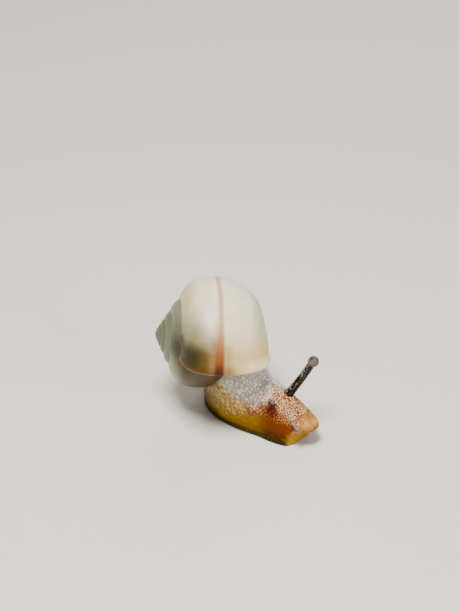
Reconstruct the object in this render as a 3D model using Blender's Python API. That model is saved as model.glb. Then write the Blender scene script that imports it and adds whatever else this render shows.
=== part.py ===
"""Life-size garden snail with a pale, one-banded shell, crawling with its head turned to its left.

The body follows one bent line over the floor, from the lips to the tip of the tail. Every length of
it is a loft of rounded sections along that line, with a flat sole at Z = 0. The shell is a
right-handed spiral: one rounded section turned about the shell's axis while it grows by the same
share in every whorl. The tentacles are round-ended curves.

Lengths are in millimetres and become metres where a mesh is made. The snail faces -Y under its
shell, +Z is up, and the shell's point is on its right, towards -X.
"""

import math

import bmesh
import bpy
import numpy as np
from mathutils import Matrix, Vector

MM = 0.001

BOX_CENTRE = (2.065, 4.920)  # the middle of the whole snail, which goes to the origin

# ---- The shell ----
WHORLS = 5.5
GROWTH = 1.535  # each whorl is this many times the one before
ROWS_PER_WHORL = 32
SPIRE_STEPS = 4  # facets between two sutures
BASE_STEPS = 13  # facets from the lower suture round the base
SECTION_OUT = 4.10  # section's centre, out from the axis, at the lip
SECTION_DOWN = 6.87  # and below the spiral's point
HALF_BREADTH = 3.66
HALF_ABOVE = 4.17
HALF_BELOW = 5.50
FLATNESS_ABOVE = 2.09  # 2 is an ellipse, more is squarer
UMBILICUS_ANGLE = math.radians(-146)  # where the section turns into the navel
UMBILICUS_DEPTH = 8.0
APEX_HEIGHT = 0.20
LIP_FLARE = 0.15
LIP_SLANT = math.radians(10)  # how far the lower lip lags behind the upper
SHELL_X = -0.07  # the periphery at the lip
SHELL_Y = 1.93
SHELL_Z = 8.18
APEX_BACK = -0.02  # how far the shell's point leans back and up, for each unit to the right
APEX_UP = 0.13

# ---- The body's line over the floor ----
LIPS_AT = (10.45, -6.28)
HEAD_HEADING = math.radians(140)  # from the lips back towards the shell
TRUNK_HEADING = math.radians(90)
TURN_START = 7.4
TURN_LENGTH = 6.4
TAIL_BEND = math.radians(9)
TAIL_BEND_START = 18.0
BODY_LENGTH = 27.0
LINE_STEP = 0.05

# ---- Sections of the body: distance from the lips, half width, top, height of the widest place,
# and how far the section leans to the snail's left ----
BODY_SECTIONS = (
    (0.55, 1.15, 2.72, 2.12, 0.0),
    (1.30, 1.58, 3.06, 2.08, 0.0),
    (3.00, 2.17, 3.70, 2.04, 0.0),
    (5.00, 2.55, 4.35, 2.15, 0.0),
    (7.00, 2.87, 5.20, 2.50, -0.2),
    (8.70, 3.27, 6.40, 2.90, -0.5),
    (10.2, 3.49, 7.35, 3.00, -0.65),
    (12.0, 3.40, 7.30, 2.70, -0.55),
    (14.0, 3.25, 5.60, 2.10, -0.4),
    (17.0, 2.70, 3.50, 1.30, 0.0),
    (20.0, 2.15, 2.60, 0.90, 0.0),
    (23.0, 1.50, 1.75, 0.60, 0.0),
    (25.5, 0.80, 0.95, 0.35, 0.0),
    (27.0, 0.14, 0.35, 0.16, 0.0),
)
SHOULDER = 2.35  # 2 is an ellipse, more is squarer
CHIN_BACK = 1.0  # how far the snout's underside lies behind its tip
CHIN_TOP = 2.3
CHIN_DROP = 1.4
CHIN_FADE = 3.0
FOOT_HALF_WIDTHS = ((1.7, 1.50), (2.2, 2.15), (3.1, 2.52), (6.0, 2.85), (9.0, 3.32), (12.0, 3.45))
UNDERCUT = 1.5  # how soon the flank turns under to the flat sole
FOOT_HEIGHT = 0.90
PARTING = 0.30
SECTION_POINTS = 26
SECTION_STEP = 0.62

# Where the body is parted, from the lips back.
HEAD_END = 6.2
NECK_END = 10.2
TRUNK_END = 17.2
REAR_END = 21.8
FOOT_FRONT = 1.70
FOOT_PARTING = 6.1

# ---- Head parts: distance from the lips, offset to the snail's left, height ----
STALK_ROOT = (4.95, 0.95, 3.60)
STALK_REACH = (2.19, 1.85, 4.62)  # forward, left and up, from the root
STALK_BOW = 0.08
STALK_ROOT_RADIUS = 0.56
STALK_TIP_RADIUS = 0.43
EYE_KNOB_RADIUS = 0.63
EYE_RADIUS = 0.21
EYE_DIRECTION = (0.03, -0.43, 0.85)  # forward, left and up, from the knob's centre
DRAWN_IN_AT = (5.00, -1.20, 3.72)
DRAWN_IN_RADII = (0.62, 0.55, 0.62)
FEELERS = {  # root and tip; the left one hangs down beside the chin
    "left": ((2.15, 1.55, 2.15), (1.72, 1.86, 1.34)),
    "right": ((2.45, -1.36, 3.05), (0.72, -1.83, 2.26)),
}
FEELER_RADIUS = 0.29
LIP_AT = (1.08, 0.68, 2.12)
LIP_RADII = (0.94, 0.63, 0.80)
SOCKET_GAP = 0.10

# ---- The mantle, which fills the mouth of the shell ----
MANTLE_RADII = (3.70, 3.10, 1.55)  # along the shell's axis, out from it, and through its mouth
MANTLE_OUT = 4.15
MANTLE_DOWN = 7.6
MANTLE_BELOW_LIP = 0.10
CLEARANCE = 0.28

# ---- Colours: the finish of each part ----
COLOURS = {
    "shell_cream": ((0.66, 0.62, 0.47, 1.0), 0.42),
    "skin_grey": ((0.40, 0.36, 0.29, 1.0), 0.38),
    "skin_amber": ((0.30, 0.16, 0.035, 1.0), 0.38),
    "skin_orange": ((0.36, 0.17, 0.06, 1.0), 0.34),
    "lip_pink": ((0.58, 0.42, 0.30, 1.0), 0.30),
    "stalk_brown": ((0.13, 0.085, 0.05, 1.0), 0.32),
    "stalk_tip": ((0.55, 0.47, 0.40, 1.0), 0.22),
    "eye_black": ((0.008, 0.007, 0.007, 1.0), 0.12),
    "foot_olive": ((0.22, 0.19, 0.10, 1.0), 0.35),
}


def clear_scene():
    for old in list(bpy.data.objects):
        bpy.data.objects.remove(old, do_unlink=True)


def new_collection(name):
    collection = bpy.data.collections.new(name)
    bpy.context.scene.collection.children.link(collection)
    return collection


def finish(name):
    """The Principled material of one finish, made once."""
    if name in bpy.data.materials:
        return bpy.data.materials[name]
    colour, roughness = COLOURS[name]
    material = bpy.data.materials.new(name)
    material.use_nodes = True
    shader = material.node_tree.nodes["Principled BSDF"]
    shader.inputs["Base Color"].default_value = colour
    shader.inputs["Roughness"].default_value = roughness
    shader.inputs["Metallic"].default_value = 0.0
    material.diffuse_color = colour
    return material


def placed(point):
    """A point in metres, from the middle of the whole snail."""
    return (Vector(point) - Vector((*BOX_CENTRE, 0.0))) * MM


def mesh_object(name, points, faces, collection, finish_name):
    """A closed mesh with its faces outwards, from points in millimetres."""
    mesh = bpy.data.meshes.new(name)
    mesh.from_pydata([tuple(placed(p)) for p in points], [], faces)
    tidy = bmesh.new()
    tidy.from_mesh(mesh)
    bmesh.ops.recalc_face_normals(tidy, faces=tidy.faces)
    tidy.to_mesh(mesh)
    tidy.free()
    made = bpy.data.objects.new(name, mesh)
    mesh.materials.append(finish(finish_name))
    collection.objects.link(made)
    return made


def as_cutter(made):
    made.hide_render = True
    made.display_type = "WIRE"
    return made


def cut(target, *cutters):
    """Takes each cutter's volume out of the target."""
    for cutter in cutters:
        modifier = target.modifiers.new("Cut " + cutter.name, "BOOLEAN")
        modifier.operation = "DIFFERENCE"
        modifier.solver = "EXACT"
        modifier.object = cutter


# ---- The body's line ----


def smooth_step(x):
    x = np.clip(x, 0.0, 1.0)
    return x * x * (3.0 - 2.0 * x)


def heading(s):
    """The line's direction at s, looking back from the lips."""
    turned = smooth_step((s - TURN_START) / TURN_LENGTH)
    bent = smooth_step((s - TAIL_BEND_START) / (BODY_LENGTH - TAIL_BEND_START))
    return HEAD_HEADING + (TRUNK_HEADING - HEAD_HEADING) * turned + TAIL_BEND * bent


LINE_S = np.arange(0.0, BODY_LENGTH + LINE_STEP, LINE_STEP)
LINE_HEADINGS = heading(LINE_S + LINE_STEP / 2)
LINE_X = LIPS_AT[0] + np.concatenate(([0.0], np.cumsum(np.cos(LINE_HEADINGS))[:-1])) * LINE_STEP
LINE_Y = LIPS_AT[1] + np.concatenate(([0.0], np.cumsum(np.sin(LINE_HEADINGS))[:-1])) * LINE_STEP


def on_body(s, left, up):
    """The point at s along the body, so far to the snail's left and up."""
    angle = float(heading(s))
    x = float(np.interp(s, LINE_S, LINE_X))
    y = float(np.interp(s, LINE_S, LINE_Y))
    return Vector((x + left * math.sin(angle), y - left * math.cos(angle), up))


def body_direction(s, forward, left, up):
    angle = float(heading(s))
    ahead = Vector((-math.cos(angle), -math.sin(angle), 0.0))
    side = Vector((math.sin(angle), -math.cos(angle), 0.0))
    return ahead * forward + side * left + Vector((0.0, 0.0, up))


def smooth_table(s, table):
    """Each column of the table at s, on a smooth curve through its rows."""
    table = np.array(table, float)
    at = table[:, 0]
    slopes = np.gradient(table[:, 1:], at, axis=0)
    i = int(np.clip(np.searchsorted(at, s) - 1, 0, len(at) - 2))
    span = at[i + 1] - at[i]
    t = (np.clip(s, at[0], at[-1]) - at[i]) / span
    a, b = table[i, 1:], table[i + 1, 1:]
    return (
        a * (1 + 2 * t) * (1 - t) ** 2
        + slopes[i] * span * t * (1 - t) ** 2
        + b * t * t * (3 - 2 * t)
        + slopes[i + 1] * span * t * t * (t - 1)
    )


def chin_back(s, height):
    """How far back the snout's underside lies at this height, fading towards the cheeks."""
    lowness = float(smooth_step((CHIN_TOP - height) / CHIN_DROP))
    return CHIN_BACK * lowness * (1 - float(smooth_step(s / CHIN_FADE)))


def body_section(s, bottom, grow=0.0):
    """The rounded section at s, flat at its bottom, as points round the body."""
    half_width, top, widest, lean = smooth_table(s, BODY_SECTIONS)
    half_width += grow
    top += grow
    widest = max(widest, bottom + 0.12)
    points = []
    for k in range(SECTION_POINTS):
        angle = 2 * math.pi * k / SECTION_POINTS - math.pi / 2
        across, up = math.cos(angle), math.sin(angle)
        if up >= 0:
            side = half_width * math.copysign(abs(across) ** (2 / SHOULDER), across)
            height = widest + (top - widest) * up ** (2 / SHOULDER)
        else:
            side = half_width * math.copysign(abs(across) ** 0.5, across)
            height = widest - (widest - bottom) * min(1.0, -up * UNDERCUT)
        points.append(on_body(s + chin_back(s, height), lean + side, height))
    return points


def loft(name, sections, collection, finish_name):
    """A closed solid through sections with the same number of points."""
    count = len(sections[0])
    points = [p for section in sections for p in section]
    faces = [tuple(range(count)), tuple((len(sections) - 1) * count + k for k in range(count))]
    for i in range(len(sections) - 1):
        for k in range(count):
            a = i * count + k
            b = i * count + (k + 1) % count
            faces.append((a, b, b + count, a + count))
    return mesh_object(name, points, faces, collection, finish_name)


def stations(start, end):
    steps = max(2, round((end - start) / SECTION_STEP))
    return [start + (end - start) * i / steps for i in range(steps + 1)]


def body_length(name, start, end, collection, finish_name, bottom=0.0, grow=0.0):
    sections = [body_section(s, bottom, grow) for s in stations(start, end)]
    return loft(name, sections, collection, finish_name)


def foot_section(s):
    """A low slab with a flat sole and rounded edges."""
    (half_width,) = smooth_table(s, FOOT_HALF_WIDTHS)
    edge = FOOT_HEIGHT * 0.45
    outline = (
        (-half_width + edge, 0.0),
        (half_width - edge, 0.0),
        (half_width, edge * 0.7),
        (half_width - edge * 0.35, FOOT_HEIGHT * 0.82),
        (half_width - edge, FOOT_HEIGHT),
        (-half_width + edge, FOOT_HEIGHT),
        (-half_width + edge * 0.35, FOOT_HEIGHT * 0.82),
        (-half_width, edge * 0.7),
    )
    return [on_body(s, left, up) for left, up in outline]


def foot_length(name, start, end, collection):
    return loft(name, [foot_section(s) for s in stations(start, end)], collection, "foot_olive")


# ---- The shell ----


def shell_frame():
    """The shell's own axes: out at the top, out at the front, and down the axis to the base."""
    base = Vector((1.0, -APEX_BACK, -APEX_UP)).normalized()
    front = Vector((0.0, -1.0, 0.0))
    front = (front - front.dot(base) * base).normalized()
    top = base.cross(front)
    if top.z < 0:
        top = -top
    return top, front, base


SHELL_TOP, SHELL_FRONT, SHELL_BASE = shell_frame()
SHELL_POINT = Vector((SHELL_X, SHELL_Y, SHELL_Z)) - SHELL_BASE * SECTION_DOWN
LIP_ANGLE = math.pi / 2 - 0.055  # the mouth opens downwards at the front


def in_shell(turn, out, down):
    """The point at this turn, in radians from the top to the front, so far out and down the axis."""
    radial = SHELL_TOP * math.cos(turn) + SHELL_FRONT * math.sin(turn)
    return SHELL_POINT + radial * out + SHELL_BASE * down


def rounded(share, flatness):
    """A cosine or sine drawn towards a straight-sided shape, with its sign kept."""
    return math.copysign(abs(share) ** (2 / flatness), share)


def section_at(angle, scale=1.0, grow=0.0):
    """The whorl's section: how far out and down the axis it is at an angle above its widest place."""
    high, flatness = (HALF_ABOVE, FLATNESS_ABOVE) if angle > 0 else (HALF_BELOW, 2.0)
    out = SECTION_OUT * scale + (HALF_BREADTH * scale + grow) * rounded(math.cos(angle), flatness)
    down = SECTION_DOWN * scale - (high * scale + grow) * rounded(math.sin(angle), flatness)
    return out, down


def inside_section(out, down):
    high, flatness = (HALF_ABOVE, FLATNESS_ABOVE) if down < SECTION_DOWN else (HALF_BELOW, 2.0)
    across = abs(out - SECTION_OUT) / HALF_BREADTH
    return across**flatness + (abs(down - SECTION_DOWN) / high) ** flatness < 1


def suture_angles():
    """Where a whorl leaves the one before: the angle on the older section and on the newer."""
    low, high = 0.0, math.pi / 2
    for _ in range(50):
        middle = (low + high) / 2
        if inside_section(*section_at(middle, 1 / GROWTH)):
            low = middle
        else:
            high = middle
    out, down = section_at(low, 1 / GROWTH)
    half_power = FLATNESS_ABOVE / 2
    up = ((SECTION_DOWN - down) / HALF_ABOVE) ** half_power
    across = (abs(out - SECTION_OUT) / HALF_BREADTH) ** half_power
    return low, math.atan2(up, math.copysign(across, out - SECTION_OUT))


def shell_solid(name, collection, grow=0.0):
    """The whole shell, closed at its point, its navel and its mouth."""
    older, newer = suture_angles()
    rows = round(WHORLS * ROWS_PER_WHORL)
    last = rows - ROWS_PER_WHORL
    points = []
    index = {}

    def add(key, turn, out, down):
        index[key] = len(points)
        points.append(in_shell(turn, out, down))

    for i in range(rows + 1):
        whorls_left = (rows - i) / ROWS_PER_WHORL
        turn = LIP_ANGLE - 2 * math.pi * whorls_left
        scale = GROWTH**-whorls_left
        flare = grow + (LIP_FLARE if i == rows else 0.0)
        lag = LIP_SLANT * float(smooth_step(1 - whorls_left * 3))
        if i == rows:
            turn += grow / (SECTION_OUT + HALF_BREADTH)
        for j in range(SPIRE_STEPS + 1):
            if j == 0 and i >= ROWS_PER_WHORL:
                index[i, 0] = index[i - ROWS_PER_WHORL, SPIRE_STEPS]
                continue
            angle = newer + (older - newer) * j / SPIRE_STEPS
            add((i, j), turn, *section_at(angle, scale, flare))
        if i >= last:
            for j in range(1, BASE_STEPS + 1):
                share = j / BASE_STEPS
                angle = older + (UMBILICUS_ANGLE - older) * share
                add((i, SPIRE_STEPS + j), turn - lag * share, *section_at(angle, scale, flare))
    faces = []
    for i in range(rows):
        depth = SPIRE_STEPS + (BASE_STEPS if i >= last else 0)
        for j in range(depth):
            faces.append((index[i, j], index[i + 1, j], index[i + 1, j + 1], index[i, j + 1]))
    # The mouth: from the lip across to the wall of the whorl before.
    low = SPIRE_STEPS + BASE_STEPS
    for j in range(1, SPIRE_STEPS):
        faces.append((index[last, SPIRE_STEPS], index[rows, j], index[rows, j + 1]))
    for j in range(SPIRE_STEPS, low):
        faces.append((index[last, j], index[rows, j], index[rows, j + 1], index[last, j + 1]))
    # The point and the navel.
    index["apex"] = len(points)
    points.append(SHELL_POINT + SHELL_BASE * (APEX_HEIGHT * GROWTH**-WHORLS * 7 - grow))
    start = [index[i, 0] for i in range(ROWS_PER_WHORL + 1)]
    start += [index[0, j] for j in range(SPIRE_STEPS - 1, 0, -1)]
    for a, b in zip(start, start[1:] + start[:1]):
        faces.append((index["apex"], a, b))
    index["navel"] = len(points)
    points.append(SHELL_POINT + SHELL_BASE * (UMBILICUS_DEPTH + grow))
    navel = [index[i, low] for i in range(last, rows + 1)]
    for a, b in zip(navel, navel[1:] + navel[:1]):
        faces.append((index["navel"], a, b))
    return mesh_object(name, points, faces, collection, "shell_cream")


# ---- Round parts ----


def ball(name, centre, radii, axes, collection, finish_name, segments=16, rings=10):
    """A sphere drawn out along three directions."""
    bpy.ops.mesh.primitive_uv_sphere_add(segments=segments, ring_count=rings, radius=1.0)
    made = bpy.context.object
    made.name = made.data.name = name
    turn = Matrix([axis.normalized() for axis in axes]).transposed().to_4x4()
    size = Matrix.Diagonal([r * MM for r in radii] + [1.0])
    made.data.transform(Matrix.Translation(placed(centre)) @ turn @ size)
    made.data.materials.append(finish(finish_name))
    for old in made.users_collection:
        old.objects.unlink(made)
    collection.objects.link(made)
    return made


def tapered_rod(name, path, radii, collection, finish_name, sides=4):
    """A round bar along a path, each point with its own radius, made from a bevelled curve."""
    curve = bpy.data.curves.new(name + "_curve", "CURVE")
    curve.dimensions = "3D"
    curve.bevel_depth = MM
    curve.bevel_resolution = sides
    curve.use_fill_caps = True
    spline = curve.splines.new("POLY")
    spline.points.add(len(path) - 1)
    for point, place, radius in zip(spline.points, path, radii):
        point.co = (*placed(place), 1.0)
        point.radius = radius
    holder = bpy.data.objects.new(name + "_curve", curve)
    collection.objects.link(holder)
    graph = bpy.context.evaluated_depsgraph_get()
    mesh = bpy.data.meshes.new_from_object(holder.evaluated_get(graph))
    bpy.data.objects.remove(holder, do_unlink=True)
    tidy = bmesh.new()
    tidy.from_mesh(mesh)
    bmesh.ops.remove_doubles(tidy, verts=tidy.verts, dist=0.00001)
    bmesh.ops.recalc_face_normals(tidy, faces=tidy.faces)
    tidy.to_mesh(mesh)
    tidy.free()
    mesh.name = name
    made = bpy.data.objects.new(name, mesh)
    mesh.materials.clear()
    mesh.materials.append(finish(finish_name))
    collection.objects.link(made)
    return made


def stalk_path(start_share=0.0, end_share=1.0, steps=8):
    """The raised eye stalk's centre line, bowed a little backwards."""
    root = on_body(*STALK_ROOT)
    reach = body_direction(STALK_ROOT[0], *STALK_REACH)
    bow = body_direction(STALK_ROOT[0], 1.0, 0.2, -0.55).normalized() * STALK_BOW
    shares = [start_share + (end_share - start_share) * i / steps for i in range(steps + 1)]
    return [root + reach * t + bow * math.sin(math.pi * t) for t in shares], shares


def build():
    clear_scene()
    snail = new_collection("garden_snail")
    cutters = new_collection("cutters")

    # Shell.
    shell_solid("shell", snail)
    shell_room = as_cutter(shell_solid("shell_room", cutters, grow=CLEARANCE))

    # Foot under the head and neck, then the body above it.
    foot_length("foot_front", FOOT_FRONT, FOOT_PARTING - PARTING / 2, snail)
    foot_length("foot_middle", FOOT_PARTING + PARTING / 2, NECK_END - PARTING, snail)
    above_foot = FOOT_HEIGHT + PARTING
    head = body_length("head", 0.62, HEAD_END - PARTING / 2, snail, "skin_orange", above_foot)
    neck = body_length(
        "neck", HEAD_END + PARTING / 2, NECK_END - PARTING / 2, snail, "skin_grey", above_foot
    )
    trunk = body_length(
        "trunk", NECK_END + PARTING / 2, TRUNK_END - PARTING / 2, snail, "skin_amber"
    )
    body_length("rear_body", TRUNK_END + PARTING / 2, REAR_END - PARTING / 2, snail, "skin_amber")
    body_length("tail", REAR_END + PARTING / 2, BODY_LENGTH, snail, "skin_grey")

    # Mantle in the mouth of the shell, cut to the shell and to the body below it.
    middle = in_shell(LIP_ANGLE, MANTLE_OUT, MANTLE_DOWN)
    through = SHELL_BASE.cross(SHELL_FRONT)
    if through.z > 0:
        through = -through
    mantle = ball(
        "mantle",
        middle + through * MANTLE_BELOW_LIP,
        MANTLE_RADII,
        (SHELL_BASE, SHELL_FRONT, through),
        snail,
        "skin_amber",
        segments=24,
        rings=14,
    )
    body_room = as_cutter(
        body_length("body_room", 3.0, REAR_END, cutters, "skin_amber", 0.0, CLEARANCE)
    )
    cut(mantle, shell_room, body_room)
    cut(neck, shell_room)
    cut(trunk, shell_room)

    # Raised left eye stalk with its knob and eye.
    path, shares = stalk_path(end_share=0.94)
    radii = [STALK_ROOT_RADIUS + (STALK_TIP_RADIUS - STALK_ROOT_RADIUS) * t**0.6 for t in shares]
    radii = [r + 0.30 * math.exp(-t / 0.07) for r, t in zip(radii, shares)]
    stalk = tapered_rod("eye_stalk_left", path, radii, snail, "stalk_brown")
    stalk_room = as_cutter(
        tapered_rod("stalk_room", path, [r + SOCKET_GAP for r in radii], cutters, "stalk_brown")
    )
    knob_at = stalk_path()[0][-1]
    ahead = body_direction(STALK_ROOT[0], 1.0, 0.0, 0.0)
    side = body_direction(STALK_ROOT[0], 0.0, 1.0, 0.0)
    up = Vector((0.0, 0.0, 1.0))
    level = (ahead, side, up)
    knob = ball("eye_knob_left", knob_at, (EYE_KNOB_RADIUS,) * 3, level, snail, "stalk_tip")
    knob_room = as_cutter(
        ball("knob_room", knob_at, (EYE_KNOB_RADIUS + SOCKET_GAP,) * 3, level, cutters, "stalk_tip")
    )
    eye_way = body_direction(STALK_ROOT[0], *EYE_DIRECTION).normalized()
    eye_at = knob_at + eye_way * (EYE_KNOB_RADIUS - EYE_RADIUS * 0.55)
    ball("eye_left", eye_at, (EYE_RADIUS,) * 3, level, snail, "eye_black", 12, 8)
    eye_room = as_cutter(
        ball("eye_room", eye_at, (EYE_RADIUS + 0.05,) * 3, level, cutters, "eye_black", 12, 8)
    )
    cut(knob, eye_room)
    cut(stalk, knob_room)

    # Drawn-in right eye stalk: only its tip shows, as a low knob.
    drawn_at = on_body(*DRAWN_IN_AT)
    ball("eye_stalk_right", drawn_at, DRAWN_IN_RADII, level, snail, "stalk_tip", 14, 9)
    drawn_room = as_cutter(
        ball(
            "drawn_room",
            drawn_at,
            [r + SOCKET_GAP for r in DRAWN_IN_RADII],
            level,
            cutters,
            "stalk_tip",
            14,
            9,
        )
    )

    # Lips and lower tentacles, a pair of each.
    rooms = []
    for side_name, sign in (("left", 1), ("right", -1)):
        root, tip = (on_body(*place) for place in FEELERS[side_name])
        line = [root.lerp(tip, t / 5) for t in range(6)]
        swell = [FEELER_RADIUS * (0.92 + 0.14 * math.sin(2.2 * math.pi * t / 5)) for t in range(6)]
        swell[-1] *= 0.72
        tapered_rod("lower_tentacle_" + side_name, line, swell, snail, "lip_pink", 2)
        wider = [r + SOCKET_GAP for r in swell]
        feeler_room = tapered_rod("feeler_room_" + side_name, line, wider, cutters, "lip_pink", 2)
        lip_at = on_body(LIP_AT[0], sign * LIP_AT[1], LIP_AT[2])
        lip = ball("lip_" + side_name, lip_at, LIP_RADII, level, snail, "lip_pink")
        cut(lip, feeler_room)
        wider = [r + SOCKET_GAP for r in LIP_RADII]
        lip_room = ball("lip_room_" + side_name, lip_at, wider, level, cutters, "lip_pink")
        rooms += [feeler_room, lip_room]
    for room in rooms:
        as_cutter(room)
    cut(head, stalk_room, drawn_room, *rooms)


build()
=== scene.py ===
"""Looks of the life-size garden snail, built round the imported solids.

Lengths below are in millimetres, in the snail's own drawing, where the lips, the shell's mouth and
the body's line are placed; one shift, read from the raised eye's knob in the frame, carries every
piece into the row frame, and points become metres where a mesh is made.

Shell: a rounded section (a superellipse above its widest place, an ellipse below) turns about the
shell's axis and grows by the same share in every whorl. A whorl starts on the suture of the one
before, and the last goes on round the base to the navel. At the mouth the wall turns over a rounded
lip and comes back inside as a thin inner sheet; a cap closes the tube behind the mantle.

Skin: one mesh. The body is a tube of rounded sections along one bent line over the floor, with a
flat sole, a crimped foot edge, a waist above it and a superellipse back. Its granules are the cells
round staggered, jittered centres, measured along the body and round it; the surface sinks between
them. The raised eye stalk, the drawn-in one, the lower tentacles and the mantle's collar are round
surfaces along short paths, set into the body with a flared foot.
"""

import math

import bpy
import numpy as np
from mathutils import Matrix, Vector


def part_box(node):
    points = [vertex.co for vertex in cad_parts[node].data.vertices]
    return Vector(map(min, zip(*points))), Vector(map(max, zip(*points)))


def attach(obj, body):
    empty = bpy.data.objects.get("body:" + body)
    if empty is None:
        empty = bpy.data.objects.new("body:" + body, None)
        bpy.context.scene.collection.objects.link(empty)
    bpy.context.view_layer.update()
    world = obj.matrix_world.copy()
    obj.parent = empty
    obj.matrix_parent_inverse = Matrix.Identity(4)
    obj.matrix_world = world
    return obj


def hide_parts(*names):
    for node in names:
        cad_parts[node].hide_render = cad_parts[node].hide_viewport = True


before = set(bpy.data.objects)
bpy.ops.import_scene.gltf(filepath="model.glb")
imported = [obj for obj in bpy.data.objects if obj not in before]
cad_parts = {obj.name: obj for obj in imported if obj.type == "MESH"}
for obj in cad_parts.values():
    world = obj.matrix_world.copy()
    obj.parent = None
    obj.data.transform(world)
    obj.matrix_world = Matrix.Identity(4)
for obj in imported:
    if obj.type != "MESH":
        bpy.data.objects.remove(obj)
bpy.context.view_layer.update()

MM = 0.001

# ---- The shell's spiral ----
WHORLS = 5.5
GROWTH = 1.535  # each whorl is this many times the one before
SECTION_OUT = 4.10  # section's centre, out from the axis, at the lip
SECTION_DOWN = 6.87  # and below the spiral's point
HALF_BREADTH = 3.66
HALF_ABOVE = 4.17
HALF_BELOW = 5.50
FLATNESS_ABOVE = 2.09
UMBILICUS_ANGLE = math.radians(-146)
UMBILICUS_DEPTH = 8.0
APEX_HEIGHT = 0.20
LIP_FLARE = 0.12
LIP_SLANT = math.radians(10)
LIP_THICKNESS = 0.30
SHELL_MIDDLE = np.array((-0.07, 1.93, 8.18))  # on the axis, level with the periphery at the lip
APEX_BACK = -0.02
APEX_UP = 0.13
LIP_ANGLE = math.pi / 2 - 0.055
SHELL_INSET = 0.03  # the looks lie this far inside the solid's corners

ROWS_PER_WHORL = 200
SPIRE_STEPS = 16
BASE_STEPS = 66
POCKET_ROWS = 9
RIM_STEPS = 6

# ---- The body's line over the floor ----
LIPS_AT = (10.45, -6.28)
HEAD_HEADING = math.radians(140)
TRUNK_HEADING = math.radians(90)
TURN_START = 7.4
TURN_LENGTH = 6.4
TAIL_BEND = math.radians(9)
TAIL_BEND_START = 18.0
BODY_LENGTH = 27.0

# ---- Sections of the body: distance from the lips, half width, top, height of the widest place,
# lean to the snail's left ----
BODY_SECTIONS = (
    (0.00, 1.05, 2.62, 2.16, 0.0),
    (0.55, 1.22, 2.74, 2.13, 0.0),
    (1.30, 1.58, 3.04, 2.08, 0.0),
    (3.00, 2.15, 3.68, 2.04, 0.0),
    (5.00, 2.53, 4.32, 2.15, 0.0),
    (7.00, 2.85, 5.17, 2.50, -0.2),
    (8.70, 3.25, 6.37, 2.90, -0.5),
    (10.2, 3.47, 7.32, 3.00, -0.65),
    (12.0, 3.38, 7.27, 2.70, -0.55),
    (14.0, 3.23, 5.57, 2.10, -0.4),
    (17.0, 2.68, 3.48, 1.30, 0.0),
    (20.0, 2.13, 2.58, 0.90, 0.0),
    (23.0, 1.48, 1.73, 0.60, 0.0),
    (25.5, 0.78, 0.93, 0.35, 0.0),
    (27.0, 0.30, 0.42, 0.18, 0.0),
)
FOOT_HALF_WIDTHS = (
    (0.00, 0.60),
    (0.80, 0.85),
    (1.25, 1.30),
    (1.70, 1.85),
    (2.15, 2.15),
    (3.00, 2.46),
    (6.00, 2.82),
    (9.00, 3.28),
    (12.0, 3.30),
    (14.0, 3.10),
    (17.0, 2.62),
    (20.0, 2.08),
    (23.0, 1.44),
    (25.5, 0.76),
    (27.0, 0.28),
)
# The granules end at this height, and the skin below is smooth.
GRANULE_FLOOR = (
    (0.0, 2.45),
    (3.0, 2.62),
    (5.5, 2.75),
    (8.0, 2.15),
    (10.0, 1.95),
    (14.0, 1.4),
    (20.0, 0.7),
    (27.0, 0.2),
)
SHOULDER = 2.35
SNOUT_HEIGHT = 2.15
CHIN_BACK = 1.0  # how far the snout's underside lies behind its tip
CHIN_TOP = 2.3
CHIN_DROP = 1.4
CHIN_FADE = 3.0

# ---- Head parts: distance from the lips, offset to the snail's left, height ----
STALK_ROOT = (4.95, 0.95, 3.60)
STALK_REACH = (2.19, 1.85, 4.62)  # forward, left and up, from the root
STALK_BOW = 0.08
EYE_KNOB_RADIUS = 0.63
EYE_RADIUS = 0.21
EYE_DIRECTION = (0.03, -0.43, 0.85)
DRAWN_IN_AT = (5.00, -1.20, 4.06)
DRAWN_IN_PIT = (4.58, -1.90, 3.60)
# Each feeler's root, first swelling and tip.
FEELERS = {
    "left": ((2.25, 1.45, 2.35), (1.98, 1.80, 1.95), (1.74, 1.88, 1.36)),
    "right": ((2.62, -1.22, 2.86), (1.92, -1.60, 2.93), (0.76, -1.82, 2.28)),
}
LIP_LEFT = 0.60  # each lip's middle, to either side
LIP_HEIGHT = 2.02

# ---- The mantle's collar in the mouth of the shell ----
MANTLE_OUT = 4.15
MANTLE_DOWN = 7.6

# ---- The view, in mm ----
VIEW_ELEVATION = math.radians(33)
VIEW_MIDDLE = (1.25, 6.25, 9.62)
VIEW_DISTANCE = 250
VIEW_HEIGHT = 66.5  # how much of the snail's surroundings the picture takes in
SENSOR = 36.0

rng = np.random.default_rng(7)


# ---------------------------------------------------------------- numbers and small shapes


def smooth_step(x):
    x = np.clip(x, 0.0, 1.0)
    return x * x * (3.0 - 2.0 * x)


def bump(distance, reach):
    """1 at no distance, falling smoothly to 0 beyond the reach."""
    return np.exp(-((distance / reach) ** 2))


def unit(vectors):
    length = np.linalg.norm(vectors, axis=-1, keepdims=True)
    return vectors / np.maximum(length, 1e-9)


def ripple(points, wavelength, seed):
    """Soft irregular waves through space, from -1 to 1: seven sines in chance directions."""
    chance = np.random.default_rng(seed)
    ways = unit(chance.normal(size=(7, 3))) * (2 * math.pi / wavelength)
    ways *= chance.uniform(0.6, 1.6, size=(7, 1))
    phases = chance.uniform(0, 2 * math.pi, 7)
    return np.sin(points @ ways.T + phases).mean(-1) * 1.9


def to_linear(hex_colour):
    """An sRGB hex colour as linear red, green and blue."""
    channels = np.array([int(hex_colour[i : i + 2], 16) for i in (1, 3, 5)]) / 255
    return np.where(channels <= 0.04045, channels / 12.92, ((channels + 0.055) / 1.055) ** 2.4)


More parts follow.
